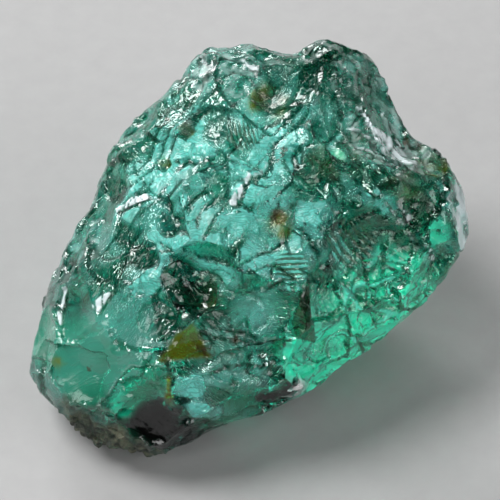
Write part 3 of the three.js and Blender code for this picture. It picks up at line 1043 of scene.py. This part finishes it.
def emerald_colour(tree, mask):
    """The stone's colour, laid in layers. Each hides the ones before it where its mark is strong."""
    # Painted shade in the troughs of the ribs
    rib_shade = product(tree, ramp_of(tree, mask["rib_wave"], -0.3, 0.5, 1.0, 0.0), mask["ribs"], 0.85)
    layers = (
        # deep green, with the painted shade of valleys, edges and hollows
        (mask["deep"], (0.02, 0.11, 0.07, 1)),
        # painted glowing light
        (mask["painted_glow"], (0.02, 1.0, 0.6, 1)),
        (mask["leafy"], (0.015, 0.28, 0.16, 1)),
        # milky cyan, with the painted sheen
        (mask["milk_and_sheen"], (0.22, 0.92, 0.83, 1)),
        # painted shade along the finest ridges
        (product(tree, mask["thin"], 0.45), (0.03, 0.16, 0.12, 1)),
        (mask["olive"], (0.19, 0.21, 0.01, 1)),
        # frosting, and the painted highlights drawn as frosting
        (mask["frosty"], (0.38, 0.5, 0.47, 1)),
        # near black over the schist, and the painted shade of dark lines and hollows
        (mask["dark"], (0.01, 0.013, 0.008, 1)),
        (rib_shade, (0.04, 0.09, 0.03, 1)),
        (iron_stain(tree, mask), (0.09, 0.04, 0.012, 1)),
        # the pale face at the right edge, and the painted highlights
        (mask["plate_and_highlight"], (0.72, 0.8, 0.83, 1)),
        (mask["crust"], mixed_colour(tree, mask["crumb"], (0.012, 0.02, 0.01, 1), (0.15, 0.15, 0.09, 1))),
    )
    colour = (0.34, 0.88, 0.8, 1)
    for share, layer in layers:
        colour = mixed_colour(tree, share, colour, layer)
    return colour


def emerald_normal(tree, mask):
    """The fine grain, the ribs and the crumbs of the crust, with sharp little ridges on top of them."""
    fine = noise_of(tree, 5200, 3, 0.6, 0.8)
    ribs = product(tree, mask["rib_wave"], mask["ribs"], 1.4)
    crumbs = product(tree, mask["crumb"], mask["crust"], 5.0)
    grain = node_of(tree, "Bump", None, Strength=0.25, Distance=0.04 * MM)
    tree.links.new(combined(tree, "ADD", fine, ribs, crumbs), grain.inputs["Height"])
    rising = streaks_of(tree, math.radians(48), 6 * MM, 5 * MM, 0.42 * MM, 2.4 * MM)
    falling = streaks_of(tree, math.radians(-30), 4 * MM, 4 * MM, 0.36 * MM, 1.8 * MM)
    patches = ramp_of(tree, noise_of(tree, 260, 1), 0.42, 0.58, 0.0, 1.0)
    falling = product(tree, falling, combined(tree, "SUBTRACT", 1.0, patches))
    either = combined(tree, "MAXIMUM", product(tree, rising, patches), falling)
    either = product(tree, either, mask["streaked"])
    height = combined(tree, "ADD", either, product(tree, mask["thin"], 0.4))
    ridges = node_of(tree, "Bump", None, Strength=1.0, Distance=0.05 * MM)
    tree.links.new(height, ridges.inputs["Height"])
    tree.links.new(grain.outputs["Normal"], ridges.inputs["Normal"])
    return ridges.outputs["Normal"]


def emerald_material():
    """Clear green beryl: glassy breaks, milkiness and deep zones, a frosted rim and iron stains, with
    painted sheen, shade, glowing light and highlights.
    """
    material, tree, shader = new_material("emerald")
    mask = emerald_masks(tree)
    shader.inputs["IOR"].default_value = EMERALD_IOR
    tree.links.new(emerald_roughness(tree, mask), shader.inputs["Roughness"])
    tree.links.new(emerald_clearness(tree, mask), shader.inputs["Transmission Weight"])
    tree.links.new(emerald_colour(tree, mask), shader.inputs["Base Color"])
    tree.links.new(emerald_normal(tree, mask), shader.inputs["Normal"])
    volume = node_of(tree, "VolumeAbsorption", None, Density=EMERALD_ABSORPTION)
    volume.inputs["Color"].default_value = (0.015, 0.9, 0.79, 1)
    tree.links.new(volume.outputs["Volume"], tree.nodes["Material Output"].inputs["Volume"])
    return material


def schist_material():
    """Dark mica schist, dull, with glinting scales."""
    material, tree, shader = new_material("schist")
    grain = noise_of(tree, 3200, 4, 0.7)
    scales = ramp_of(tree, grain, 0.4, 0.7, 0.0, 1.0)
    colour = mixed_colour(tree, scales, (0.004, 0.006, 0.004, 1), (0.03, 0.03, 0.022, 1))
    tree.links.new(colour, shader.inputs["Base Color"])
    shader.inputs["Specular IOR Level"].default_value = 0.25
    tree.links.new(ramp_of(tree, grain, 0.3, 0.7, 0.75, 0.45), shader.inputs["Roughness"])
    bump = node_of(tree, "Bump", None, Strength=0.6, Distance=0.08 * MM)
    tree.links.new(grain, bump.inputs["Height"])
    tree.links.new(bump.outputs["Normal"], shader.inputs["Normal"])
    return material


def floor():
    """A plain pale floor."""
    bpy.ops.mesh.primitive_plane_add(size=4)
    made = bpy.context.object
    made.name = "floor"
    material, tree, shader = new_material("floor")
    grain = noise_of(tree, 900, 4, 0.6)
    colour = mixed_colour(tree, grain, (0.27, 0.27, 0.27, 1), (0.31, 0.31, 0.31, 1))
    tree.links.new(colour, shader.inputs["Base Color"])
    shader.inputs["Roughness"].default_value = 0.9
    made.data.materials.append(material)


def area_light(name, place, size, power):
    """A round soft light that faces the stone."""
    light = bpy.data.lights.new(name, "AREA")
    light.shape = "DISK"
    light.size = size
    light.energy = power
    made = bpy.data.objects.new(name, light)
    made.location = place
    made.rotation_mode = "QUATERNION"
    made.rotation_quaternion = (Vector(FACE_MIDDLE) - Vector(place)).to_track_quat("-Z", "Y")
    bpy.context.scene.collection.objects.link(made)


def studio():
    """The lights, a dim grey world, and how light is followed and shown."""
    for light in LIGHTS:
        area_light(*light)
    world = bpy.data.worlds.new("studio")
    world.use_nodes = True
    background = world.node_tree.nodes["Background"]
    background.inputs["Color"].default_value = (0.03, 0.03, 0.03, 1)
    background.inputs["Strength"].default_value = 1.0
    scene = bpy.context.scene
    scene.world = world
    scene.view_settings.view_transform = "Standard"
    scene.view_settings.look = "None"
    scene.cycles.max_bounces = BOUNCES
    scene.cycles.transmission_bounces = BOUNCES


def camera():
    """A camera straight above the broad face, as the picture was taken."""
    data = bpy.data.cameras.new("camera")
    data.lens = SENSOR * CAMERA_DISTANCE / PICTURE_WIDTH
    data.sensor_width = SENSOR
    data.clip_start = 0.001
    data.clip_end = 10
    made = bpy.data.objects.new("camera", data)
    back = Vector(FACE_W)
    made.location = Vector(FACE_MIDDLE) + back * CAMERA_DISTANCE
    made.rotation_mode = "QUATERNION"
    made.rotation_quaternion = (-back).to_track_quat("-Z", "Y")
    bpy.context.scene.collection.objects.link(made)
    bpy.context.scene.camera = made


crystal = emerald()
pocket_walls = tree_of(crystal.data)
schist = schist_lump("schist", "schist_lump", pocket_walls)
schist_grain = schist_lump("schist_grain", "schist_small_lump", pocket_walls)

crystal.data.materials.append(emerald_material())
mica = schist_material()
for piece in (schist, schist_grain):
    piece.data.materials.append(mica)

for piece, node, slot in (
    (crystal, "crystal", "emerald"),
    (schist, "schist", "schist"),
    (schist_grain, "schist_grain", "schist"),
):
    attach(piece, "root")
    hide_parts(node)

floor()
studio()
camera()
